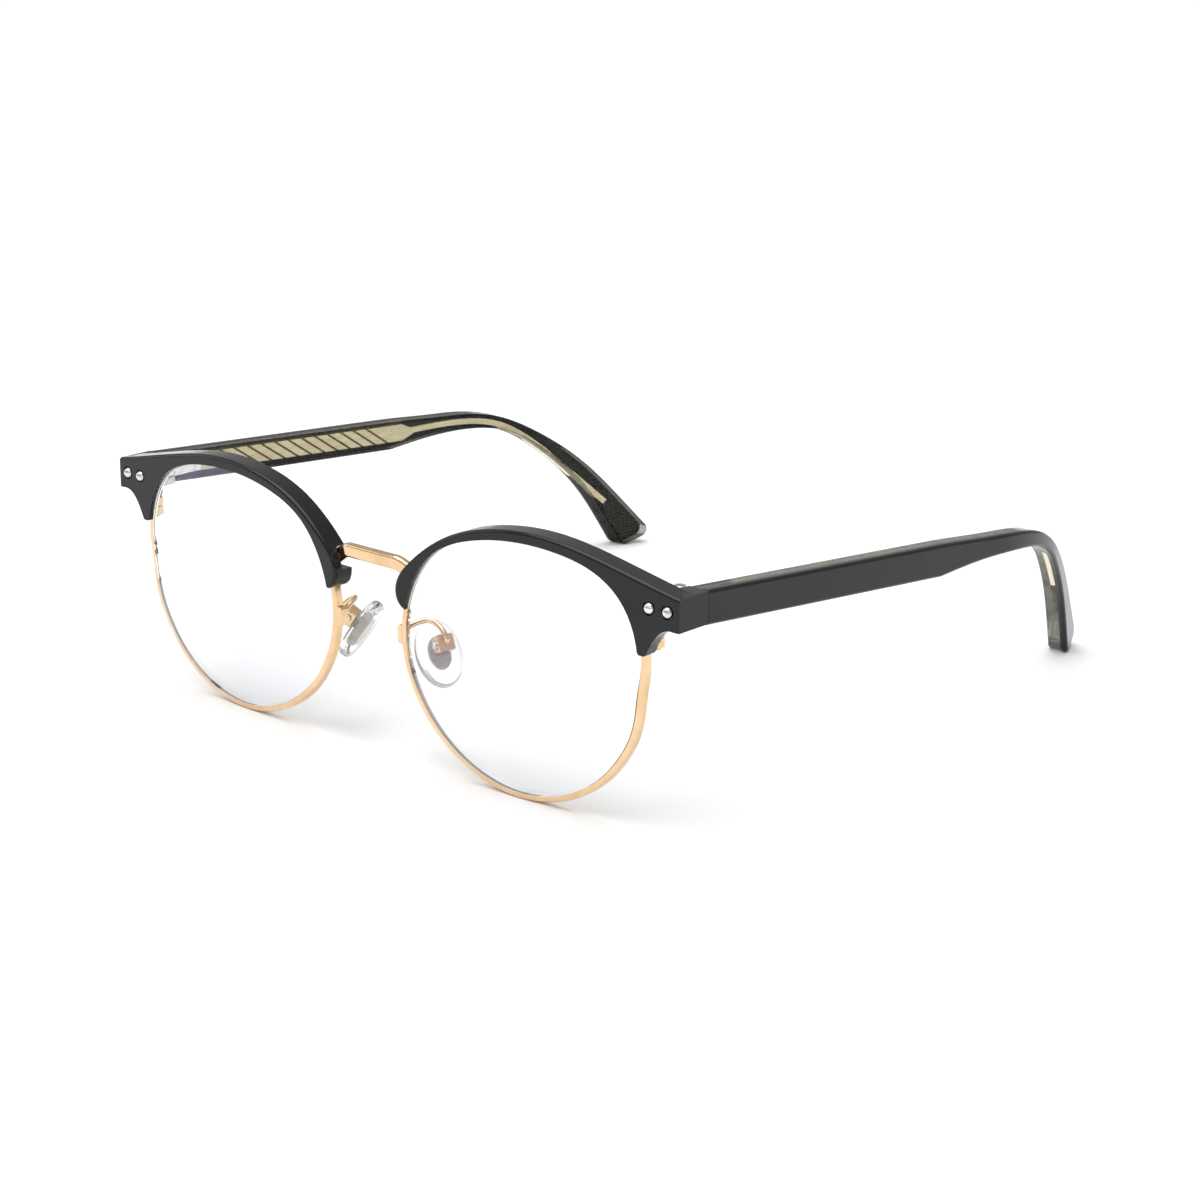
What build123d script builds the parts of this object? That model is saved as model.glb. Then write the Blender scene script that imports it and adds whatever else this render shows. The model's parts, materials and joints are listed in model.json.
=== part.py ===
"""Browline eyeglasses: metal eye rims under plastic brows, with folding laminated temples.

The frame stands upright. +Z is up, -Y is the front and +X is the wearer's left. Everything is
drawn for the wearer's left half and mirrored, except the bridge, which crosses the middle.
"""
import os
from math import cos, radians, sin, tan

from build123d import *

os.makedirs("parts", exist_ok=True)

# Eye rims
eye_width = 53.1            # outer width of one rim
eye_height = 46.3           # outer height of one rim
rim_wall = 1.1              # radial thickness of the rim wire
rim_depth = 1.7             # front-to-back depth of the rim wire
rim_edge = 0.25             # chamfer round the rim's outer edges
bridge_gap = 16.2           # clear distance between the two rims
face_wrap = 2.6             # degrees that each rim turns back at the temple side
rim_forward = 0.9           # rims' front plane ahead of the frame's reference plane
seat_gap = 0.03             # clearance between parts that are fitted together

# The eye shape, as shares of the rim's outer width and height from the eye's centre
eye_shape = [
    (0.478, 0.032), (0.465, 0.231), (0.409, 0.343), (0.330, 0.413), (0.156, 0.469), (0.0, 0.477),
    (-0.218, 0.441), (-0.377, 0.359), (-0.478, 0.214), (-0.521, -0.054), (-0.460, -0.246),
    (-0.344, -0.394), (-0.178, -0.494), (0.0, -0.522), (0.117, -0.501), (0.227, -0.451),
    (0.324, -0.372), (0.402, -0.267), (0.455, -0.140),
]
edge_points = 48            # points that carry the eye shape when it is grown or shrunk
eye_temple_share = 0.478
eye_nose_share = 0.521
eye_bottom_share = 0.522

# Lenses
lens_curve = 200.0          # radius of the lens's front surface
lens_thickness = 2.0
lens_tongue = 0.4           # how far the lens edge reaches into the rim's groove
tongue_width = 0.5
groove_centre = 0.85        # groove's distance behind the rim's front face
lens_crown = 1.55           # the lens's front pole ahead of the rim's front face

# Brows
brow_front = 0.9            # brow thickness ahead of the rim's front face
brow_depth = 4.0            # whole depth of the brow bar
brow_lap = 0.4              # how far the brow's rear flange laps the rim
brow_round = 0.6            # rounding of the crown's front edge
lobe_round = 0.6
lobe_run = 3.7              # lobe tip's flat underside, which the eye opening cuts
corner_reach = 7.5          # end piece's reach beyond the rim's temple side
end_height = 5.6            # height of the end piece and of the temple at the hinge
end_wall = 4.1              # thickness of the end piece's side wall
end_length = 7.0            # from the rim's front plane back to the split
top_share = 0.381           # height of the end piece's top above the eye centre

# Brow outline, as shares of the rim's width and height: nose tip, over the crown, to the end
crown_shape = [
    (-0.500, 0.095), (-0.532, 0.135), (-0.533, 0.190), (-0.482, 0.274), (-0.418, 0.337), (-0.305, 0.417),
    (-0.096, 0.484), (0.094, 0.4935), (0.294, 0.461), (0.458, 0.420),
]
lobe_drop = 5.2             # lobe tip below the end piece's underside
wall_start = 1.0            # where the end piece's side wall starts behind the reference plane

# Lobe's rear outline below the end piece, as shares of the corner's reach and of the lobe's drop
lobe_shape = [(0.848, 0.0), (0.570, 0.058), (0.240, 0.577), (0.089, 1.0)]

# Rivets and hinge
rivet_spacing = 3.7
rivet_inset = 2.45          # outer rivet's centre from the end piece's side face
rivet_radius = 0.6
rivet_head_radius = 1.0
rivet_recess_radius = 1.25
rivet_recess = 0.3
rivet_share = 0.45          # rivets' depth below the end piece's top, as a share of its height
plate_thickness = 1.0
plate_margin = 0.1          # plate beyond the stack of knuckles, above and below
plate_inner = 1.4           # plate beyond the inner rivet
plate_outer = 1.3           # plate beyond the outer rivet
plate_slot = 4.0            # slot's extra length towards the eye
knuckle_sink = 0.3          # how far the knuckles' arms reach into the plate
stack_shift = 0.15          # knuckles' middle below the end piece's middle
knuckle_radius = 1.6
knuckle_height = 1.4
knuckle_gap = 0.1           # axial clearance between knuckles
pin_inset = 6.0             # hinge pin's centre from the end piece's side face
pin_radius = 0.6
pin_clearance = 0.04        # running clearance round the hinge screw
screw_head_radius = 1.1
screw_head_height = 0.5
screw_edge = 0.12           # chamfer of the hinge screw's head
slot_width = 0.3            # driver slots
slot_depth = 0.25

# Rim locks: two halves clamped by a screw across the rim's split
lock_width = 2.2
lock_depth = 2.2
lock_half = 1.6             # height of one half
lock_slit = 0.15
lock_share = 0.198          # height of the split above the eye centre
lock_screw_radius = 0.45
lock_head_radius = 0.8
lock_head_height = 0.45
lock_screw_margin = 0.3     # screw's end below the upper half's top
lock_lap = 1.0              # lock's reach over the rim
lock_edge = 0.2

# Bridge
bridge_height = 2.5
bridge_depth = 1.8
bridge_rise = 11.75         # bar's centre above the eye centre
bridge_half = 6.2           # half-length of the straight bar
bridge_corner = 0.6         # rounding of the bar's section
bridge_bend = 2.0           # radius of the bend between bar and leg
leg_share = 0.203           # height of the leg's foot above the eye centre
leg_inset = 2.2             # leg's foot inside the rim's nose side
notch_gap = 0.2             # room round the bridge's leg in the brow
notch_run = 9.0
bridge_front = 0.8          # bar's centre ahead of the reference plane

# Nose pads
pad_length = 12.4
pad_width = 8.4
pad_thickness = 2.5
pad_inset = 10.2            # pad centre from the middle of the nose
pad_behind = 5.8            # pad centre behind the eye centre
pad_drop = 5.2              # pad centre below the eye centre
pad_facing = (-0.78, 0.30, -0.55)          # direction that the pad faces, towards the nose
pad_up = (-0.514, 0.198, 0.835)            # direction of the pad's length
pad_round = 0.42            # rounding of the pad's edges, as a share of its thickness
pad_wire = 0.5              # radius of the arm's wire
arm_stand = 0.45            # wire's middle beyond the rim's nose side
arm_drop = 0.9              # arm's root below the eye centre
arm_route = [(0.0, 0.2, 0.0), (0.5, 1.8, 1.3), (3.2, 5.9, 1.6)]     # wire's bends from its root
foot_length = 3.4           # arm's foot along the rim
foot_width = 1.5
foot_shift = (0.1, 0.3)    # foot's middle from the arm's root
foot_round = 0.5
foot_setback = 0.2          # foot's front behind the rim's front face
insert_length = 6.0
insert_width = 4.0
insert_thickness = 0.8
boss_radius = 0.75
boss_width = 1.5
boss_shift = 0.8            # screw's distance above the pad's middle
boss_stand = 1.6            # screw's distance behind the pad's back
box_wall = 0.45
box_gap = 0.3               # room round the boss in the box
box_lift = 0.45             # box's edge behind the pad's back
pad_screw_radius = 0.4
pad_head_radius = 0.7
pad_head_height = 0.35
pad_slot_depth = 0.15
box_round = 0.4

# Temples
temple_length = 130.6       # from the split straight back to the temple tip
temple_drop = 39.4          # hinge's centre above the floor
temple_extra = 0.25         # temple's underside below that of the end piece
skin_thickness = 1.35       # dark outer layer
liner_thickness = 2.8       # clear inner layer
temple_round = 0.6
split_gap = 0.08            # between the end piece and the temple
flare = 2.1                 # degrees that the temple opens outwards
tuck = 22.0                 # degrees that its end turns inwards
tuck_delay = 18.5           # straight length in plan beyond the end of the shank
tuck_radius = 62.0          # of the outer face, in plan
shank_fall = 4.55           # degrees that the shank slopes down
ear_run = 68.1              # length taken by the bend and the paddle
tip_round = 1.8             # rounding of the paddle's two corners
plan_lead = 2.0             # plan lines' start ahead of the split

# Ear part, as distance behind the shank's end and height as a share of the shank end's height
ear_top_shape = [
    (15.5, 1.137), (25.5, 1.103), (33.0, 1.045), (38.6, 0.965), (45.0, 0.838), (54.0, 0.598), (62.2, 0.305),
]
ear_low_shape = [(10.1, 1.016), (23.1, 1.006), (35.2, 0.929), (43.5, 0.759), (52.8, 0.447), (59.0, 0.116)]
tip_low = (61.0, 0.0)
tip_rear = (68.1, 0.085)
wire_shape = [(10.0, 1.083), (23.1, 1.055), (34.0, 0.978), (41.5, 0.83), (48.5, 0.63), (53.0, 0.49)]
core_height = 3.4
core_thickness = 0.9
core_start = 10.0
core_overrun = 4.5          # broad part of the core beyond the shank's end
core_point = 4.5            # length of the taper
wire_width = 1.1
wire_lap = 2.0              # wire's start inside the broad part
groove_pitch = 3.7
groove_width = 0.5
groove_depth = 0.3
groove_lead = 5.0           # first groove behind the core's front end
groove_margin = 6.0         # length of the core that stays plain
groove_lean = 33.0          # degrees between a groove and the temple's length
leaf_length = 9.5           # hinge leaf along the temple
leaf_thickness = 0.8
leaf_start = 0.6            # leaf's front end behind the split
leaf_drop = 0.4             # leaf's middle below the end piece's middle
leaf_share = 0.6            # leaf's height, as a share of the temple's

# Derived places
eye_x = bridge_gap / 2 + eye_nose_share * eye_width * cos(radians(face_wrap))
eye_z = eye_bottom_share * eye_height
eye_plane = Plane(
    origin=(eye_x, -rim_forward, eye_z),
    x_dir=(cos(radians(face_wrap)), sin(radians(face_wrap)), 0),
    z_dir=(sin(radians(face_wrap)), -cos(radians(face_wrap)), 0),
)
rim_side = eye_temple_share * eye_width
end_u = rim_side + corner_reach
end_x = eye_x + end_u * cos(radians(face_wrap))
end_top_v = top_share * eye_height
end_low_v = end_top_v - end_height
end_top = eye_z + end_top_v
end_mid = end_top - end_height / 2
end_low = end_top - end_height
split_y = end_length
rivet_v = end_top_v - rivet_share * end_height
rivet_spots = [(end_u - rivet_inset - rivet_spacing, rivet_v), (end_u - rivet_inset, rivet_v)]
brow_back = brow_depth - brow_front
plate_back = brow_back                     # hinge plate lies flush with the brow's back
plate_low_u = rivet_spots[0][0] - plate_inner
plate_high_u = rivet_spots[1][0] + plate_outer
pin_x = end_x - pin_inset
knuckle_pitch = knuckle_height + knuckle_gap
stack_height = 3 * knuckle_height + 2 * knuckle_gap
stack_low = end_mid - stack_height / 2 - stack_shift
plate_v = stack_low + stack_height / 2 - eye_z
plate_height = stack_height + 2 * plate_margin
lock_v = lock_share * eye_height
lock_u = rim_side - lock_lap + lock_width / 2
leg_v = leg_share * eye_height
pad_plane = Plane(
    origin=(pad_inset, pad_behind, eye_z - pad_drop),
    x_dir=pad_up,
    z_dir=pad_facing,
)
boss_depth = -pad_thickness / 2 - boss_stand
temple_thickness = skin_thickness + liner_thickness
floor_z = end_mid - temple_drop
shank_length = temple_length - ear_run
shank_slope = tan(radians(shank_fall))
temple_low = end_low - temple_extra
shank_low = temple_low - shank_length * shank_slope - floor_z
temple_y = split_y + split_gap
core_end = shank_length + core_overrun


def eye_face(grow):
    """Eye shape in the eye plane, with every point of its edge moved outwards by a distance."""
    with BuildLine():
        base = Spline(*[(u * eye_width, v * eye_height) for u, v in eye_shape], periodic=True)
    points = []
    for step in range(edge_points):
        share = step / edge_points
        point = base @ share
        along = base % share
        points.append((point.X + grow * along.Y, point.Y - grow * along.X))
    with BuildSketch() as area:
        with BuildLine():
            Spline(*points, periodic=True)
        make_face()
    return area.sketch


rim_face = eye_face(0)
opening_face = eye_face(-rim_wall)


def make_rim():
    with BuildPart() as rim:
        with BuildSketch(eye_plane):
            add(rim_face)
            add(opening_face, mode=Mode.SUBTRACT)
        extrude(amount=-rim_depth)
        outer = rim.faces().sort_by(SortBy.AREA)[-1].edges().sort_by(SortBy.LENGTH)[-2:]
        chamfer(outer, length=rim_edge)
        with BuildSketch(eye_plane.offset(-groove_centre - tongue_width / 2 - seat_gap)):
            add(eye_face(lens_tongue + seat_gap - rim_wall))
        extrude(amount=tongue_width + 2 * seat_gap, mode=Mode.SUBTRACT)
        with Locations(eye_plane.location * Location((rim_side - rim_wall, lock_v, -rim_depth / 2))):
            Box(4 * rim_wall, lock_slit, 2 * rim_depth, mode=Mode.SUBTRACT)
    return rim.part


def make_lens():
    pole = lens_crown - lens_curve
    with BuildPart() as lens:
        with BuildSketch(eye_plane.offset(-3 * lens_thickness)):
            add(eye_face(-rim_wall - seat_gap))
        extrude(amount=5 * lens_thickness)
        with Locations(eye_plane.location * Location((0, 0, pole))):
            Sphere(lens_curve, mode=Mode.INTERSECT)
            Sphere(lens_curve - lens_thickness, mode=Mode.SUBTRACT)
        with BuildSketch(eye_plane.offset(-groove_centre - tongue_width / 2)):
            add(eye_face(lens_tongue - rim_wall))
            add(eye_face(-rim_wall - 1.0), mode=Mode.SUBTRACT)
        extrude(amount=tongue_width)
    return lens.part


def brow_outline():
    """Closed outline whose inner side crosses the eye opening, which is cut away later."""
    crown = [(u * eye_width, v * eye_height) for u, v in crown_shape]
    overhang = 2 * corner_reach
    slope = (end_top_v - crown[-1][1]) / (end_u - crown[-1][0])
    end_point = (end_u + overhang, end_top_v + slope * overhang)
    lobe = [(rim_side + u * corner_reach, end_low_v - v * lobe_drop) for u, v in lobe_shape]
    with BuildSketch() as area:
        with BuildLine():
            top = Spline(*crown, (end_u, end_top_v))
            Polyline(top @ 1, end_point, (end_point[0], end_low_v), lobe[0])
            Spline(*lobe)
            Polyline(lobe[-1], (lobe[-1][0] - lobe_run, lobe[-1][1]), crown[0])
        make_face()
    return area.sketch


def make_brow():
    with BuildPart() as brow:
        with BuildSketch(eye_plane.offset(-brow_back)) as outline:
            add(brow_outline())
            add(opening_face, mode=Mode.SUBTRACT)
            lobe_v = end_low_v - lobe_drop
            lobe = outline.vertices().filter_by_position(Axis.Y, lobe_v - 0.01, lobe_v + 0.01)
            fillet(lobe, radius=lobe_round)
        extrude(amount=brow_depth)
        # Straight side face, and the side wall that runs back to the split
        with Locations((end_x + 50, 0, eye_z)):
            Box(100, 100, 200, mode=Mode.SUBTRACT)
        with Locations((end_x - end_wall / 2, (split_y + wall_start) / 2, end_mid)):
            Box(end_wall, split_y - wall_start, end_height)
        facing = brow.faces().filter_by(lambda face: face.normal_at(face.center()).Y < -0.99)
        fillet(facing.sort_by(SortBy.AREA)[-1].edges().sort_by(SortBy.LENGTH)[-1], radius=brow_round)
        # Channel for the rim, open towards the eye behind it
        with BuildSketch(eye_plane.offset(-rim_depth - seat_gap)):
            add(eye_face(seat_gap))
        extrude(amount=rim_depth + 2 * seat_gap, mode=Mode.SUBTRACT)
        with BuildSketch(eye_plane.offset(-rim_depth - seat_gap)):
            add(eye_face(-brow_lap))
        extrude(amount=-brow_depth, mode=Mode.SUBTRACT)
        # Room for the rim lock behind the lobe
        with BuildSketch(eye_plane.offset(-rim_depth)):
            with Locations((rim_side - 2 * lock_width, lock_v + lock_half + 0.3)):
                Rectangle(5 * lock_width, 20, align=(Align.MIN, Align.MAX))
        extrude(amount=-brow_depth, mode=Mode.SUBTRACT)
        # Notch in the nose side for the bridge's leg
        add(bridge_leg(notch_gap), mode=Mode.SUBTRACT)
        with BuildSketch(eye_plane.offset(-rim_depth / 2)):
            with Locations((-eye_nose_share * eye_width, leg_v)):
                Rectangle(notch_run, bridge_height + 2 * notch_gap)
        extrude(amount=-2 * brow_depth, mode=Mode.SUBTRACT)
        # Rivet holes and their recesses
        with Locations(*[eye_plane.location * Location((u, v, brow_front)) for u, v in rivet_spots]):
            CounterBoreHole(
                rivet_radius, rivet_recess_radius, rivet_recess,
                depth=brow_depth - plate_thickness,
            )
        # Slot for the hinge plate
        with BuildSketch(eye_plane.offset(-plate_back)):
            with Locations((plate_low_u - plate_slot, plate_v)):
                Rectangle(
                    plate_high_u - plate_low_u + plate_slot + seat_gap, plate_height,
                    align=(Align.MIN, Align.CENTER),
                )
        extrude(amount=plate_thickness, mode=Mode.SUBTRACT)
    return brow.part


def make_rivets():
    with BuildPart() as rivets:
        for u, v in rivet_spots:
            with BuildSketch(eye_plane.offset(-plate_back)):
                with Locations((u, v)):
                    Circle(rivet_radius)
            extrude(amount=brow_depth - rivet_recess)
            with Locations(eye_plane.location * Location((u, v, brow_front - rivet_recess))):
                Sphere(rivet_head_radius, arc_size1=0, align=(Align.CENTER, Align.CENTER, Align.MIN))
    return rivets.part


def make_hinge_plate():
    """Front leaf: a plate let into the brow's back with an upper and a lower knuckle."""
    with BuildPart() as plate:
        with BuildSketch(eye_plane.offset(-plate_back)):
            with Locations((plate_low_u, plate_v)):
                Rectangle(plate_high_u - plate_low_u, plate_height, align=(Align.MIN, Align.CENTER))
        extrude(amount=plate_thickness)
        back_y = plate_back - rim_forward + plate_low_u * sin(radians(face_wrap)) - knuckle_sink
        for step in (0, 2):
            with Locations((pin_x, split_y, stack_low + step * knuckle_pitch)):
                Cylinder(knuckle_radius, knuckle_height, align=(Align.CENTER, Align.CENTER, Align.MIN))
                Box(
                    2 * knuckle_radius, split_y - back_y, knuckle_height,
                    align=(Align.CENTER, Align.MAX, Align.MIN),
                )
        with Locations((pin_x, split_y, stack_low)):
            Cylinder(pin_radius, 10 * knuckle_height, mode=Mode.SUBTRACT)
        plate_face = -plate_back + plate_thickness
        with Locations(*[eye_plane.location * Location((u, v, plate_face)) for u, v in rivet_spots]):
            Hole(rivet_radius, depth=plate_thickness)
    return plate.part


def make_hinge_screw():
    with BuildPart() as screw:
        with Locations((pin_x, split_y, stack_low)):
            Cylinder(pin_radius, stack_height, align=(Align.CENTER, Align.CENTER, Align.MIN))
        with Locations((pin_x, split_y, stack_low + stack_height)):
            Cylinder(screw_head_radius, screw_head_height, align=(Align.CENTER, Align.CENTER, Align.MIN))
        chamfer(screw.edges().sort_by(Axis.Z)[-1], length=screw_edge)
        with Locations((pin_x, split_y, stack_low + stack_height + screw_head_height)):
            Box(3 * screw_head_radius, slot_width, 2 * slot_depth, mode=Mode.SUBTRACT)
    return screw.part


def make_rim_lock(upper):
    low = lock_v + lock_slit / 2 if upper else lock_v - lock_slit / 2 - lock_half
    middle_depth = -rim_depth - lock_depth / 2
    with BuildPart() as lock:
        with Locations(eye_plane.location * Location((lock_u, low + lock_half / 2, middle_depth))):
            Box(lock_width, lock_half, lock_depth)
        chamfer(lock.faces().sort_by(Axis.Y)[-1].edges(), length=lock_edge)
        with Locations(eye_plane.location * Location((lock_u, low, middle_depth), (-90, 0, 0))):
            Cylinder(lock_screw_radius, 4 * lock_half, mode=Mode.SUBTRACT)
    return lock.part


def make_lock_screw():
    """Screw driven in from below through both halves of the rim lock."""
    reach = 2 * lock_half + lock_slit - lock_screw_margin
    start = lock_v - lock_slit / 2 - lock_half
    middle_depth = -rim_depth - lock_depth / 2
    with BuildPart() as screw:
        with Locations(eye_plane.location * Location((lock_u, start, middle_depth), (-90, 0, 0))):
            Cylinder(lock_screw_radius, reach, align=(Align.CENTER, Align.CENTER, Align.MIN))
            Cylinder(lock_head_radius, lock_head_height, align=(Align.CENTER, Align.CENTER, Align.MAX))
            with Locations((0, 0, -lock_head_height)):
                Box(3 * lock_head_radius, slot_width, 2 * slot_depth, mode=Mode.SUBTRACT)
    return screw.part


def bridge_leg(grow):
    """Left half of the bridge bar with its leg, thickened all round by a distance."""
    bar_z = eye_z + bridge_rise
    foot_u = eye_nose_share * eye_width - leg_inset
    foot_x = eye_x - foot_u * cos(radians(face_wrap))
    foot_y = rim_depth - rim_forward + bridge_depth / 2 - foot_u * sin(radians(face_wrap))
    with BuildPart() as leg:
        with BuildLine():
            FilletPolyline(
                (0, -bridge_front, bar_z),
                (bridge_half, -bridge_front, bar_z),
                (foot_x, foot_y, eye_z + leg_v),
                radius=bridge_bend,
            )
        with BuildSketch(Plane(origin=(0, -bridge_front, bar_z), x_dir=(0, 1, 0), z_dir=(1, 0, 0))):
            RectangleRounded(bridge_depth + 2 * grow, bridge_height + 2 * grow, bridge_corner + grow)
        sweep()
    return leg.part


def make_bridge():
    with BuildPart() as bridge:
        add(bridge_leg(0))
        with BuildSketch(eye_plane.offset(-rim_depth)):
            add(rim_face)
        extrude(amount=brow_depth, mode=Mode.SUBTRACT)
        with BuildSketch(eye_plane.offset(-2 * brow_depth)):
            add(eye_face(-rim_wall + seat_gap))
        extrude(amount=3 * brow_depth, mode=Mode.SUBTRACT)
        mirror(about=Plane.YZ)
    return bridge.part


def make_pad_insert():
    """Stiff plate inside the pad, with a boss that the pad screw passes through."""
    with BuildPart() as insert:
        with BuildSketch(pad_plane.offset(-insert_thickness / 2)):
            Ellipse(insert_length / 2, insert_width / 2)
        extrude(amount=insert_thickness)
        with BuildSketch(pad_plane.offset(boss_depth)):
            with Locations((boss_shift, 0)):
                Rectangle(2 * boss_radius, boss_width)
        extrude(amount=-boss_depth)
        with Locations(pad_plane.location * Location((boss_shift, 0, boss_depth), (90, 0, 0))):
            Cylinder(boss_radius, boss_width)
            Cylinder(pad_screw_radius + pin_clearance, 2 * boss_width, mode=Mode.SUBTRACT)
    return insert.part


def make_pad(insert):
    with BuildPart() as pad:
        with BuildSketch(pad_plane.offset(-pad_thickness / 2)):
            Ellipse(pad_length / 2, pad_width / 2)
        extrude(amount=pad_thickness)
        fillet(pad.edges(), radius=pad_round * pad_thickness)
        add(insert, mode=Mode.SUBTRACT)
    return pad.part


box_inner_height = 2 * boss_radius + 2 * box_gap
box_inner_width = boss_width + 2 * box_gap
box_front = -pad_thickness / 2 - box_lift
box_back = boss_depth - boss_radius - box_gap - box_wall


def make_pad_box():
    """Gold box that holds the pad's boss, open towards the pad."""
    with BuildPart() as box:
        with BuildSketch(pad_plane.offset(box_back)):
            with Locations((boss_shift, 0)):
                RectangleRounded(box_inner_height + 2 * box_wall, box_inner_width + 2 * box_wall, box_round)
        extrude(amount=box_front - box_back)
        with BuildSketch(pad_plane.offset(box_back + box_wall)):
            with Locations((boss_shift, 0)):
                Rectangle(box_inner_height, box_inner_width)
        extrude(amount=box_front - box_back, mode=Mode.SUBTRACT)
        with Locations(pad_plane.location * Location((boss_shift, 0, boss_depth), (90, 0, 0))):
            Cylinder(pad_screw_radius + seat_gap, 4 * box_inner_width, mode=Mode.SUBTRACT)
    return box.part


def make_pad_screw():
    half = box_inner_width / 2 + box_wall
    with BuildPart() as screw:
        with Locations(pad_plane.location * Location((boss_shift, 0, boss_depth), (90, 0, 0))):
            Cylinder(pad_screw_radius, 2 * half)
            with Locations((0, 0, half)):
                Cylinder(pad_head_radius, pad_head_height, align=(Align.CENTER, Align.CENTER, Align.MIN))
            with Locations((0, 0, half + pad_head_height)):
                Box(3 * pad_head_radius, slot_width, 2 * pad_slot_depth, mode=Mode.SUBTRACT)
    return screw.part


def make_pad_arm():
    """Wire from a foot on the rim's nose side, up, back and round to the pad's box."""
    root_u = -eye_nose_share * eye_width - arm_stand
    root = eye_plane.location * Location((root_u, -arm_drop, -rim_depth / 2))
    bends = [root.position + Vector(*bend) for bend in arm_route]
    box_foot = pad_plane.location * Location((boss_shift, 0, box_back))
    with BuildPart() as arm:
        with BuildLine() as route:
            Spline(
                *bends, box_foot.position,
                tangents=[(0, 0.1, 1), pad_facing],
                tangent_scalars=(1.0, 1.0),
            )
        with BuildSketch(Plane(origin=route.line @ 0, z_dir=route.line % 0)):
            Circle(pad_wire)
        sweep()
        with BuildSketch(eye_plane.offset(-rim_depth)):
            with Locations((root_u + foot_shift[0], foot_shift[1] - arm_drop)):
                RectangleRounded(foot_width, foot_length, foot_round)
        extrude(amount=rim_depth - foot_setback)
        with BuildSketch(eye_plane.offset(-rim_depth - 1)):
            add(rim_face)
        extrude(amount=rim_depth + 2, mode=Mode.SUBTRACT)
    return arm.part


def plan_edge(inset):
    """Points of the temple's plan line, a distance in from its outer face."""
    lead = plan_lead
    first = radians(flare)
    last = radians(-tuck)
    radius = tuck_radius - inset
    straight = shank_length + tuck_delay
    start_x = end_x - inset * cos(first) - lead * sin(first)
    start_y = temple_y + inset * sin(first) - lead * cos(first)
    start = (start_x, start_y)
    bend = (start[0] + (straight + lead) * sin(first), start[1] + (straight + lead) * cos(first))
    centre = (bend[0] - radius * cos(first), bend[1] + radius * sin(first))
    middle = radians((flare - tuck) / 2)
    halfway = (centre[0] + radius * cos(middle), centre[1] - radius * sin(middle))
    unbend = (centre[0] + radius * cos(last), centre[1] - radius * sin(last))
    end = (unbend[0] + ear_run * sin(last), unbend[1] + ear_run * cos(last))
    return start, bend, halfway, unbend, end


def plan_strip(outer_inset, inner_inset):
    """Upright slab between two plan lines of the temple."""
    outer = plan_edge(outer_inset)
    inner = plan_edge(inner_inset)
    with BuildPart() as slab:
        with BuildSketch(Plane.XY.offset(floor_z - 10)):
            with BuildLine():
                Line(outer[0], outer[1])
                ThreePointArc(outer[1], outer[2], outer[3])
                Polyline(outer[3], outer[4], inner[4], inner[3])
                ThreePointArc(inner[3], inner[2], inner[1])
                Polyline(inner[1], inner[0], outer[0])
            make_face()
        extrude(amount=temple_drop + end_height + 20)
    return slab.part


def ear_point(run, share):
    return (split_y + shank_length + run, floor_z + share * shank_low)


def temple_profile():
    shank_end = (split_y + shank_length, shank_low + floor_z)
    fall = (1, -shank_slope)
    low_points = [shank_end] + [ear_point(*spot) for spot in ear_low_shape]
    shank_top = (shank_end[0], shank_end[1] + end_height + temple_extra)
    top_points = [shank_top] + [ear_point(*spot) for spot in ear_top_shape]
    low_corner = ear_point(*tip_low)
    rear_corner = ear_point(*tip_rear)
    with BuildSketch() as area:
        with BuildLine():
            Polyline(shank_end, (temple_y, temple_low), (temple_y, end_top), top_points[0])
            last = top_points[-1]
            Spline(*top_points, tangents=[fall, (rear_corner[0] - last[0], rear_corner[1] - last[1])])
            Polyline(last, rear_corner, low_corner, low_points[-1])
            last = low_points[-1]
            Spline(*low_points, tangents=[(1, 0.06), (low_corner[0] - last[0], low_corner[1] - last[1])])
        make_face()
        fillet(area.vertices().sort_by(Axis.Y)[:2], radius=tip_round)
    return area.sketch


def side_edges(part, facing):
    """Long edges of a temple layer's outer (+1) or inner (-1) side."""
    sides = part.faces().filter_by(lambda face: facing * face.normal_at(face.center()).X > 0.8)
    return sides.edges().filter_by(Axis.Z, reverse=True)


def make_temple_skin():
    with BuildPart() as skin:
        add(plan_strip(0, skin_thickness))
        with BuildSketch(Plane.YZ):
            add(temple_profile())
        extrude(amount=2 * end_x, mode=Mode.INTERSECT)
        fillet(side_edges(skin, 1), radius=temple_round)
    return skin.part


def core_profile(grooves):
    """Outline of the core, or of the grooves across its broad part."""
    slope = shank_slope

    def middle(run):
        return end_mid - run * slope

    half = core_height / 2
    start = core_start
    end = core_end
    with BuildSketch() as area:
        if grooves:
            count = int((end - start - groove_margin) / groove_pitch)
            spots = [start + groove_lead + step * groove_pitch for step in range(count)]
            with Locations(*[Location((split_y + run, middle(run)), -groove_lean) for run in spots]):
                Rectangle(3 * core_height, groove_width)
        else:
            with BuildLine():
                Polyline(
                    (split_y + start, middle(start) - half),
                    (split_y + start, middle(start) + half),
                    (split_y + end, middle(end) + half),
                    (split_y + end + core_point, middle(end + core_point)),
                    (split_y + end, middle(end) - half),
                    (split_y + start, middle(start) - half),
                )
            make_face()
            with BuildLine() as wire:
                Spline(
                    (split_y + end - wire_lap, middle(end - wire_lap)),
                    *[ear_point(*spot) for spot in wire_shape],
                )
            trace(wire.line, wire_width)
    return area.sketch


def make_temple_core(grooved):
    with BuildPart() as core:
        add(plan_strip(skin_thickness, skin_thickness + core_thickness))
        with BuildSketch(Plane.YZ):
            add(core_profile(False))
        extrude(amount=2 * end_x, mode=Mode.INTERSECT)
        if grooved:
            add(groove_cutters(), mode=Mode.SUBTRACT)
    return core.part


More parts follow.
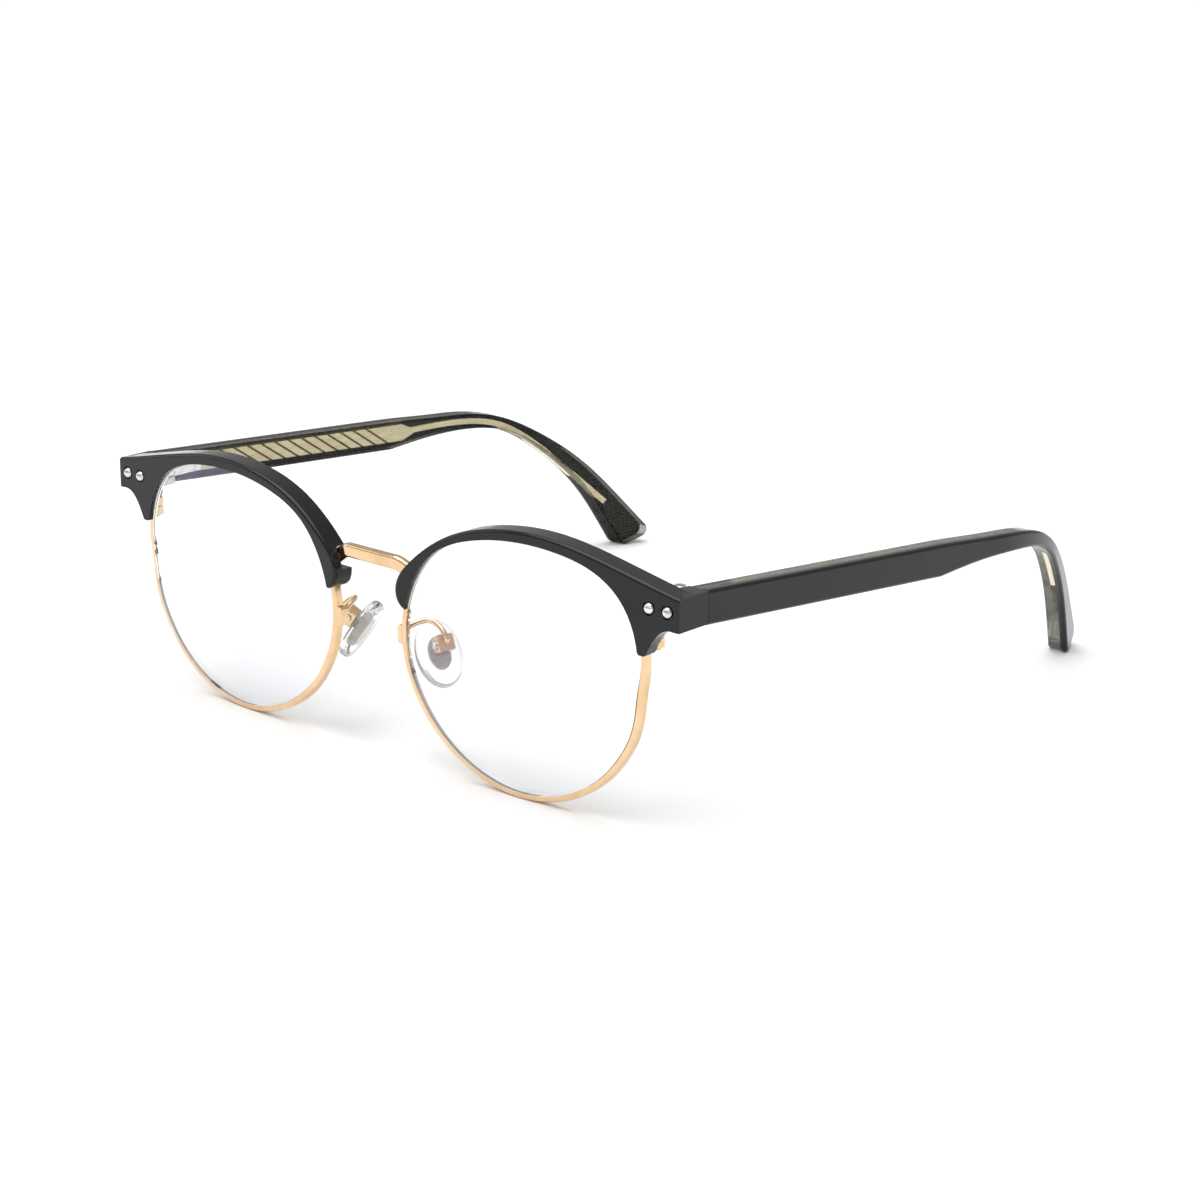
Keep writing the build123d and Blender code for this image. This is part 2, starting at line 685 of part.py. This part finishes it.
def groove_cutters():
    with BuildPart() as cutters:
        add(plan_strip(skin_thickness + core_thickness - groove_depth, skin_thickness + core_thickness + 0.1))
        with BuildSketch(Plane.YZ):
            add(core_profile(True))
        extrude(amount=2 * end_x, mode=Mode.INTERSECT)
    return cutters.part


def make_temple_hinge():
    """Rear leaf: a plate let into the temple's inner face with the middle knuckle."""
    knuckle_low = stack_low + knuckle_pitch
    face_x = end_x - temple_thickness
    with BuildPart() as leaf:
        add(plan_strip(temple_thickness - leaf_thickness, temple_thickness))
        with Locations((end_x, temple_y + leaf_start + leaf_length / 2, end_mid - leaf_drop)):
            Box(4 * temple_thickness, leaf_length, leaf_share * end_height, mode=Mode.INTERSECT)
        with Locations((pin_x, split_y, knuckle_low)):
            Cylinder(knuckle_radius, knuckle_height, align=(Align.CENTER, Align.CENTER, Align.MIN))
        with Locations((pin_x, temple_y, knuckle_low)):
            Box(
                face_x + leaf_thickness / 2 - pin_x, knuckle_radius, knuckle_height,
                align=(Align.MIN, Align.MIN, Align.MIN),
            )
        with Locations((pin_x, split_y, knuckle_low)):
            Cylinder(pin_radius + pin_clearance, 4 * knuckle_height, mode=Mode.SUBTRACT)
    return leaf.part


def make_temple_liner(leaf):
    with BuildPart() as liner:
        add(plan_strip(skin_thickness, temple_thickness))
        with BuildSketch(Plane.YZ):
            add(temple_profile())
        extrude(amount=2 * end_x, mode=Mode.INTERSECT)
        fillet(side_edges(liner, -1), radius=temple_round)
        add(make_temple_core(False), mode=Mode.SUBTRACT)
        add(leaf, mode=Mode.SUBTRACT)
    return liner.part


def seat_in_frame(part, origin_y, origin_z, mirrored):
    with BuildPart() as seated:
        with Locations((0, -origin_y, -origin_z)):
            add(part)
        if mirrored:
            mirror(about=Plane.YZ, mode=Mode.REPLACE)
    return seated.part


insert = make_pad_insert()
leaf = make_temple_hinge()
pieces = {
    "rim": make_rim(),
    "lens": make_lens(),
    "brow": make_brow(),
    "rivets": make_rivets(),
    "hinge_plate": make_hinge_plate(),
    "hinge_screw": make_hinge_screw(),
    "rim_lock_upper": make_rim_lock(True),
    "rim_lock_lower": make_rim_lock(False),
    "rim_lock_screw": make_lock_screw(),
    "pad_arm": make_pad_arm(),
    "pad_box": make_pad_box(),
    "pad_screw": make_pad_screw(),
    "pad_insert": insert,
    "pad": make_pad(insert),
    "temple_skin": make_temple_skin(),
    "temple_liner": make_temple_liner(leaf),
    "temple_core": make_temple_core(True),
    "temple_hinge": leaf,
}
bridge = make_bridge()

# The origin is the middle of the glasses' box, at the height that they stand on
origin_y = (pieces["brow"].bounding_box().min.Y + pieces["temple_skin"].bounding_box().max.Y) / 2
origin_z = min(pieces["rim"].bounding_box().min.Z, pieces["temple_skin"].bounding_box().min.Z)

for name, piece in pieces.items():
    for side in ("left", "right"):
        seated = seat_in_frame(piece, origin_y, origin_z, side == "right")
        seated.label = f"{name}_{side}"
        export_step(seated, f"parts/{name}_{side}.step")
seated = seat_in_frame(bridge, origin_y, origin_z, False)
seated.label = "bridge"
export_step(seated, "parts/bridge.step")
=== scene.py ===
import json
from math import cos, radians, sin

import bmesh
import bpy
from mathutils import Matrix, Vector


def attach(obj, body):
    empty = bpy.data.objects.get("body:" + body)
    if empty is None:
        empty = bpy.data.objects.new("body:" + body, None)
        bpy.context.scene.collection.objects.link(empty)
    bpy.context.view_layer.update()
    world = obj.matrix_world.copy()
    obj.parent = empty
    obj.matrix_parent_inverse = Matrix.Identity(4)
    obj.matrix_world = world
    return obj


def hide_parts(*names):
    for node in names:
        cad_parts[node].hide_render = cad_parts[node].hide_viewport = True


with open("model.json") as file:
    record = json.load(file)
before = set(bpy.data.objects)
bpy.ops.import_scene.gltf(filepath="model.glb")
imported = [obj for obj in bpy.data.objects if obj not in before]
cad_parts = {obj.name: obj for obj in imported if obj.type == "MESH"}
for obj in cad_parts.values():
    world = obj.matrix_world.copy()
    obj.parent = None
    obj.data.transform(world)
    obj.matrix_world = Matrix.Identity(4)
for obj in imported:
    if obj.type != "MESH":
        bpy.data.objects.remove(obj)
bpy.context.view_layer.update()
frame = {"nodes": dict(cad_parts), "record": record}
nodes = frame["nodes"]
record = frame["record"]
slotOf = {part["node"]: part["material_slot"] for part in record["subparts"]}
bodies = record["behaviour"]["bodies"]
bodyOf = {member: name for name, members in bodies.items() for member in members}
print("frame loaded:", len(nodes), "nodes")

mm = 0.001
noiseSpan = (0.3, 0.7)  # the part of a noise's output that is spread over a wanted range


def noiseFrom(tree, place, pattern):
    # a noise on the piece's own coordinates, stretched along an axis where the pattern says so
    mapping = tree.nodes.new("ShaderNodeMapping")
    mapping.inputs["Scale"].default_value = pattern.get("stretch", (1, 1, 1))
    noise = tree.nodes.new("ShaderNodeTexNoise")
    noise.inputs["Scale"].default_value = pattern["scale"]
    noise.inputs["Detail"].default_value = pattern["detail"]
    tree.links.new(place, mapping.inputs["Vector"])
    tree.links.new(mapping.outputs["Vector"], noise.inputs["Vector"])
    return noise.outputs["Fac"]


def numberInto(tree, place, pattern, socket):
    # noise spread between two values and sent to one number socket
    spread = tree.nodes.new("ShaderNodeMapRange")
    spread.inputs["From Min"].default_value, spread.inputs["From Max"].default_value = noiseSpan
    spread.inputs["To Min"].default_value, spread.inputs["To Max"].default_value = pattern["range"]
    tree.links.new(noiseFrom(tree, place, pattern), spread.inputs["Value"])
    tree.links.new(spread.outputs["Result"], socket)


def colourInto(tree, place, pattern, socket):
    # noise through a colour ramp, sent to a colour socket
    ramp = tree.nodes.new("ShaderNodeValToRGB")
    first, *between, last = pattern["stops"]
    for stop, (position, colour) in zip(ramp.color_ramp.elements, (first, last)):
        stop.position = position
        stop.color = (*colour, 1)
    for position, colour in between:
        stop = ramp.color_ramp.elements.new(position)
        stop.color = (*colour, 1)
    tree.links.new(noiseFrom(tree, place, pattern), ramp.inputs["Fac"])
    tree.links.new(ramp.outputs["Color"], socket)


def bumpInto(tree, place, patterns, socket):
    # several noises stacked as fine relief, the first one undermost
    below = None
    for pattern in patterns:
        bump = tree.nodes.new("ShaderNodeBump")
        bump.inputs["Strength"].default_value = pattern["strength"]
        bump.inputs["Distance"].default_value = pattern["height"]
        tree.links.new(noiseFrom(tree, place, pattern), bump.inputs["Height"])
        if below:
            tree.links.new(below, bump.inputs["Normal"])
        below = bump.outputs["Normal"]
    tree.links.new(below, socket)


def makeMaterial(name, look):
    material = bpy.data.materials.new(name)
    material.use_nodes = True
    tree = material.node_tree
    shader = tree.nodes["Principled BSDF"]
    place = tree.nodes.new("ShaderNodeTexCoord").outputs["Object"]
    base = shader.inputs["Base Color"]
    if "paintedShadeMask" in look:
        # faces that carry the painted-shade attribute get the second colour, a painted shade
        paintedShadeMask = tree.nodes.new("ShaderNodeAttribute")
        paintedShadeMask.attribute_name = look["paintedShadeMask"]
        mix = tree.nodes.new("ShaderNodeMixRGB")
        tree.links.new(paintedShadeMask.outputs["Fac"], mix.inputs["Fac"])
        tree.links.new(mix.outputs["Color"], base)
        base = mix.inputs["Color1"]
        if "paintedShadeColour" in look:
            mix.inputs["Color2"].default_value = (*look["paintedShadeColour"], 1)
        else:
            colourInto(tree, place, look["paintedShadePattern"], mix.inputs["Color2"])
    colourInto(tree, place, look["colour"], base)
    if "rough" in look:
        numberInto(tree, place, look["rough"], shader.inputs["Roughness"])
    if "bumps" in look:
        bumpInto(tree, place, look["bumps"], shader.inputs["Normal"])
    for socket, value in look["sockets"].items():
        shader.inputs[socket].default_value = value
    return material


browAcetate = {
    "colour": {"scale": 160, "detail": 4, "stops": [
        (0.35, (0.0045, 0.0056, 0.0052)), (0.70, (0.0080, 0.0098, 0.0090)),
    ]},
    "rough": {"scale": 420, "detail": 5, "range": (0.08, 0.17)},
    "bumps": [
        {"scale": 90, "detail": 2, "strength": 0.05, "height": 0.0004},
        {"scale": 2600, "detail": 3, "strength": 0.03, "height": 0.00006},
    ],
    "sockets": {"IOR": 1.49, "Specular IOR Level": 0.32},
}
# the temples' outer layer is a little lighter than the brows
templeAcetate = dict(browAcetate, colour={"scale": 160, "detail": 4, "stops": [
    (0.35, (0.005625, 0.0070, 0.0065)), (0.70, (0.0100, 0.01225, 0.01125)),
]})
champagneGold = {
    "colour": {"scale": 240, "detail": 4, "stops": [
        (0.30, (0.74, 0.50, 0.285)), (0.50, (0.80, 0.56, 0.335)), (0.72, (0.86, 0.625, 0.395)),
    ]},
    "rough": {"scale": 700, "detail": 4, "range": (0.11, 0.19)},
    "bumps": [
        {"scale": 220, "detail": 2, "strength": 0.05, "height": 0.00012},
        {"scale": 3200, "detail": 3, "strength": 0.04, "height": 0.00004},
    ],
    "sockets": {"Metallic": 1.0},
}
# pale gold with fine brushing along the wire, and a brown painted shade in its grooves
coreGold = {
    "colour": {"scale": 900, "detail": 4, "stretch": (1, 0.12, 1), "stops": [
        (0.28, (0.68, 0.60, 0.43)), (0.50, (0.78, 0.70, 0.53)), (0.75, (0.86, 0.79, 0.63)),
    ]},
    "paintedShadeMask": "grooveShade",
    # a flat brown painted shade for the groove faces
    "paintedShadeColour": (0.16, 0.105, 0.055),
    "rough": {"scale": 1500, "detail": 4, "stretch": (1, 0.1, 1), "range": (0.24, 0.36)},
    "bumps": [
        {"scale": 2200, "detail": 3, "stretch": (1, 0.08, 1), "strength": 0.08, "height": 0.00005},
    ],
    "sockets": {"Metallic": 0.85},
}
nickelSilver = {
    "colour": {"scale": 500, "detail": 4, "stops": [
        (0.30, (0.52, 0.51, 0.49)), (0.50, (0.68, 0.68, 0.66)), (0.70, (0.82, 0.82, 0.80)),
    ]},
    "rough": {"scale": 1200, "detail": 4, "range": (0.12, 0.26)},
    "bumps": [{"scale": 2400, "detail": 3, "strength": 0.08, "height": 0.00006}],
    "sockets": {"Metallic": 1.0},
}
# the clear layer's sawn edges get a darker painted shade than its broad inner face
smokyClearEdgeShade = {
    "colour": {"scale": 120, "detail": 3, "stops": [
        (0.35, (0.62, 0.61, 0.49)), (0.70, (0.74, 0.73, 0.61)),
    ]},
    "paintedShadeMask": "edgeShade",
    # dark painted shade for the edge faces, varied by noise
    "paintedShadePattern": {"scale": 420, "detail": 4, "stops": [
        (0.35, (0.045, 0.045, 0.038)), (0.68, (0.17, 0.165, 0.135)),
    ]},
    "rough": {"scale": 500, "detail": 3, "range": (0.02, 0.06)},
    "bumps": [{"scale": 120, "detail": 2, "strength": 0.04, "height": 0.0003}],
    "sockets": {"Transmission Weight": 1.0, "IOR": 1.2, "Alpha": 0.9},
}
# clear, with the faint violet reflection of its coating
lensClear = {
    "colour": {"scale": 40, "detail": 2, "stops": [
        (0.35, (0.95, 0.97, 0.99)), (0.65, (0.985, 0.99, 1.0)),
    ]},
    "rough": {"scale": 300, "detail": 2, "range": (0.0, 0.015)},
    "sockets": {"Transmission Weight": 1.0, "IOR": 1.5, "Specular Tint": (0.62, 0.50, 1.0, 1)},
}
clearSilicone = {
    "colour": {"scale": 300, "detail": 3, "stops": [
        (0.35, (0.90, 0.92, 0.93)), (0.65, (0.97, 0.98, 0.98)),
    ]},
    "rough": {"scale": 900, "detail": 3, "range": (0.03, 0.12)},
    "bumps": [{"scale": 500, "detail": 2, "strength": 0.05, "height": 0.0001}],
    "sockets": {"Transmission Weight": 0.95, "IOR": 1.42},
}
padInsertGrey = {
    "colour": {"scale": 700, "detail": 3, "stops": [
        (0.30, (0.66, 0.62, 0.55)), (0.70, (0.80, 0.77, 0.71)),
    ]},
    "rough": {"scale": 900, "detail": 3, "range": (0.25, 0.45)},
    "bumps": [{"scale": 900, "detail": 2, "strength": 0.1, "height": 0.0001}],
    "sockets": {},
}

materials = {
    "brow_black": makeMaterial("browAcetate", browAcetate),
    "temple_black": makeMaterial("templeAcetate", templeAcetate),
    "gold": makeMaterial("champagneGold", champagneGold),
    "core_gold": makeMaterial("coreGold", coreGold),
    "silver": makeMaterial("nickelSilver", nickelSilver),
    "temple_clear": makeMaterial("smokyClearEdgeShade", smokyClearEdgeShade),
    "lens": makeMaterial("lensClear", lensClear),
    "silicone": makeMaterial("clearSilicone", clearSilicone),
    "pad_insert": makeMaterial("padInsertGrey", padInsertGrey),
}
print("materials made:", len(materials))

# edge: width in mm of the softened edges, swell: mm that a piece reaches into the clear layer,
# join: degrees between facets that are merged into one flat face
finish = {
    "rim": {"edge": 0.10, "swell": 0.0, "join": 0.05},
    "bridge": {"edge": 0.0, "swell": 0.0, "join": 0.05},
    "lens": {"edge": 0.0, "swell": 0.0, "join": 0.05},
    "brow": {"edge": 0.24, "swell": 0.0, "join": 0.5},
    "rivets": {"edge": 0.06, "swell": 0.0, "join": 0.5},
    "hinge_plate": {"edge": 0.10, "swell": 0.0, "join": 0.5},
    "hinge_screw": {"edge": 0.06, "swell": 0.0, "join": 0.5},
    "rim_lock_upper": {"edge": 0.12, "swell": 0.0, "join": 0.5},
    "rim_lock_lower": {"edge": 0.12, "swell": 0.0, "join": 0.5},
    "rim_lock_screw": {"edge": 0.05, "swell": 0.0, "join": 0.5},
    "pad_arm": {"edge": 0.0, "swell": 0.0, "join": 0.05},
    "pad_box": {"edge": 0.08, "swell": 0.0, "join": 0.5},
    "pad_screw": {"edge": 0.05, "swell": 0.0, "join": 0.5},
    "pad_insert": {"edge": 0.0, "swell": 0.03, "join": 0.05},
    "pad": {"edge": 0.0, "swell": 0.0, "join": 0.05},
    "temple_skin": {"edge": 0.12, "swell": 0.05, "join": 0.05},
    "temple_liner": {"edge": 0.0, "swell": 0.0, "join": 0.05},
    "temple_core": {"edge": 0.0, "swell": 0.04, "join": 0.05},
    "temple_hinge": {"edge": 0.10, "swell": 0.0, "join": 0.5},
}
weldDistance = 0.002 * mm
edgeSegments = 2
sharpTurn = radians(32)

# these settings choose which core faces get the painted groove shade
# flare: the temple's outward turn, steepest: how far up or down a groove's wall may face,
# margin and front: room left at the broad sides and at the core's front end
grooveLook = {"flare": radians(2.1), "steepest": 0.93, "margin": 0.08 * mm, "front": 6.0 * mm}


def paintGrooveShade(work, side):
    # painted shade on the faces that lie between the core's two broad sides and do not face up or
    # down
    outward = Vector((side * cos(grooveLook["flare"]), -sin(grooveLook["flare"]), 0))
    layer = work.faces.layers.float.new("grooveShade")
    straight = [face for face in work.faces if face.calc_center_median().y < 0.0]
    depths = [vert.co.dot(outward) for face in straight for vert in face.verts]
    low = min(depths) + grooveLook["margin"]
    high = max(depths) - grooveLook["margin"]
    first = min(vert.co.y for face in straight for vert in face.verts) + grooveLook["front"]
    for face in straight:
        centre = face.calc_center_median()
        inside = low < centre.dot(outward) < high and centre.y > first
        if inside and abs(face.normal.z) < grooveLook["steepest"]:
            face[layer] = 1.0


linerLook = {"sideways": 0.75}  # a face that turns less than this to the side is an edge


def paintEdgeShade(work):
    # painted shade on the liner's top, underside and ends, which do not face sideways
    layer = work.faces.layers.float.new("edgeShade")
    for face in work.faces:
        if abs(face.normal.x) < linerLook["sideways"]:
            face[layer] = 1.0


# cap: depth of the wire's end, near and far: stretch before it that gives the direction
coreTip = {"cap": 1.2 * mm, "near": 2.0 * mm, "far": 7.0 * mm, "run": 7.2 * mm}


def middleOf(verts):
    return sum((vert.co for vert in verts), Vector()) / len(verts)


def lengthenWire(work):
    # carry the core's wire on into the paddle, along its own direction
    last = max(vert.co.y for vert in work.verts)
    tip = [vert for vert in work.verts if vert.co.y > last - coreTip["cap"]]
    before = [vert for vert in work.verts if coreTip["near"] < last - vert.co.y < coreTip["far"]]
    along = (middleOf(tip) - middleOf(before)).normalized()
    for vert in tip:
        vert.co += along * coreTip["run"]


def isSharp(edge):
    return edge.is_manifold and edge.calc_face_angle() > sharpTurn


def finishNode(nodeName):
    # a smooth copy of one CAD piece, with softened edges, that shows in its place
    kind = nodeName.removesuffix("_left").removesuffix("_right")
    wish = finish[kind]
    work = bmesh.new()
    work.from_mesh(nodes[nodeName].data)
    bmesh.ops.remove_doubles(work, verts=work.verts, dist=weldDistance)
    joinTurn = radians(wish["join"])
    bmesh.ops.dissolve_limit(work, angle_limit=joinTurn, verts=work.verts, edges=work.edges)
    if wish["swell"]:
        work.normal_update()
        reach = wish["swell"] * mm
        moves = [vert.normal * vert.calc_shell_factor() * reach for vert in work.verts]
        for vert, move in zip(work.verts, moves):
            vert.co += move
    if wish["edge"]:
        sharp = [edge for edge in work.edges if isSharp(edge)]
        bmesh.ops.bevel(
            work, geom=sharp, offset=wish["edge"] * mm, offset_type="OFFSET", affect="EDGES",
            segments=edgeSegments, profile=0.5, material=-1, clamp_overlap=True,
        )
    work.normal_update()
    if kind == "temple_liner":
        paintEdgeShade(work)
    if kind == "temple_core":
        lengthenWire(work)
        paintGrooveShade(work, 1 if nodeName.endswith("_left") else -1)
    for face in work.faces:
        face.smooth = True
    for edge in work.edges:
        if isSharp(edge):
            edge.smooth = False
    mesh = bpy.data.meshes.new(nodeName + "Look")
    work.to_mesh(mesh)
    work.free()
    if "custom_normal" in mesh.attributes:
        mesh.attributes.remove(mesh.attributes["custom_normal"])
    piece = bpy.data.objects.new(nodeName + "Look", mesh)
    bpy.context.scene.collection.objects.link(piece)
    mesh.materials.clear()
    mesh.materials.append(materials[slotOf[nodeName]])
    for face in mesh.polygons:
        face.material_index = 0
    weighted = piece.modifiers.new("evenShading", "WEIGHTED_NORMAL")
    weighted.keep_sharp = True
    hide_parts(nodeName)
    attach(piece, bodyOf[nodeName])


for nodeName in sorted(nodes):
    finishNode(nodeName)
print("finished pieces:", len(nodes))

studio = {
    "floorSize": 6.0, "worldTone": (1.0, 1.0, 1.0), "worldGain": 0.52,
    "sunPower": 2.0, "sunSpread": 62.0, "sunLean": (0.22, -0.16, 0.0),
}
paleFloor = {
    "colour": {"scale": 6, "detail": 3, "stops": [
        (0.30, (0.9405, 0.9405, 0.9405)), (0.70, (0.95, 0.95, 0.95)),
    ]},
    "sockets": {"Roughness": 0.7, "Specular IOR Level": 0.2},
}

floorWork = bmesh.new()
bmesh.ops.create_grid(floorWork, x_segments=1, y_segments=1, size=studio["floorSize"] / 2)
floorMesh = bpy.data.meshes.new("floor")
floorWork.to_mesh(floorMesh)
floorWork.free()
floor = bpy.data.objects.new("floor", floorMesh)
bpy.context.scene.collection.objects.link(floor)
floorMesh.materials.append(makeMaterial("paleFloor", paleFloor))

world = bpy.data.worlds.new("studioWorld")
bpy.context.scene.world = world
world.use_nodes = True
background = world.node_tree.nodes["Background"]
background.inputs["Color"].default_value = (*studio["worldTone"], 1)
background.inputs["Strength"].default_value = studio["worldGain"]

sunData = bpy.data.lights.new("broadSun", "SUN")
sunData.energy = studio["sunPower"]
sunData.angle = radians(studio["sunSpread"])
sun = bpy.data.objects.new("broadSun", sunData)
sun.rotation_euler = studio["sunLean"]
bpy.context.scene.collection.objects.link(sun)

# place, aim, size across, power
softLights = {
    "overhead": ((-0.10, 0.15, 0.95), (0.0, 0.0, 0.0), 0.7, 1.5),
    "front": ((0.75, -0.75, 0.65), (0.0, 0.0, 0.02), 0.5, 0.9),
    "leftSide": ((-0.85, -0.45, 0.45), (0.0, 0.0, 0.02), 0.5, 0.8),
}
for lightName, (place, aim, across, power) in softLights.items():
    data = bpy.data.lights.new(lightName, "AREA")
    data.shape = "DISK"
    data.size = across
    data.energy = power
    light = bpy.data.objects.new(lightName, data)
    bpy.context.scene.collection.objects.link(light)
    direction = Vector(aim) - Vector(place)
    light.location = place
    light.rotation_euler = direction.to_track_quat("-Z", "Y").to_euler()

view = {
    "azimuth": 41.2024, "elevation": 16.8774, "roll": 0.4,
    "place": (0.335363, -0.390675, 0.169027), "lens": 83.534, "sensor": 36.0, "nearest": 0.01,
}
turn, rise, roll = (radians(view[key]) for key in ("azimuth", "elevation", "roll"))
backward = Vector((sin(turn) * cos(rise), -cos(turn) * cos(rise), sin(rise)))
rightward = Vector((cos(turn), sin(turn), 0))
upward = backward.cross(rightward)
rolledRight = rightward * cos(roll) + upward * sin(roll)
rolledUp = upward * cos(roll) - rightward * sin(roll)
cameraData = bpy.data.cameras.new("camera")
cameraData.lens = view["lens"]
cameraData.sensor_width = view["sensor"]
cameraData.clip_start = view["nearest"]
camera = bpy.data.objects.new("camera", cameraData)
bpy.context.scene.collection.objects.link(camera)
axes = Matrix((rolledRight, rolledUp, backward)).transposed()
camera.matrix_world = Matrix.Translation(view["place"]) @ axes.to_4x4()
bpy.context.scene.camera = camera
bpy.context.scene.view_settings.view_transform = "Standard"
print("floor, light and camera set")
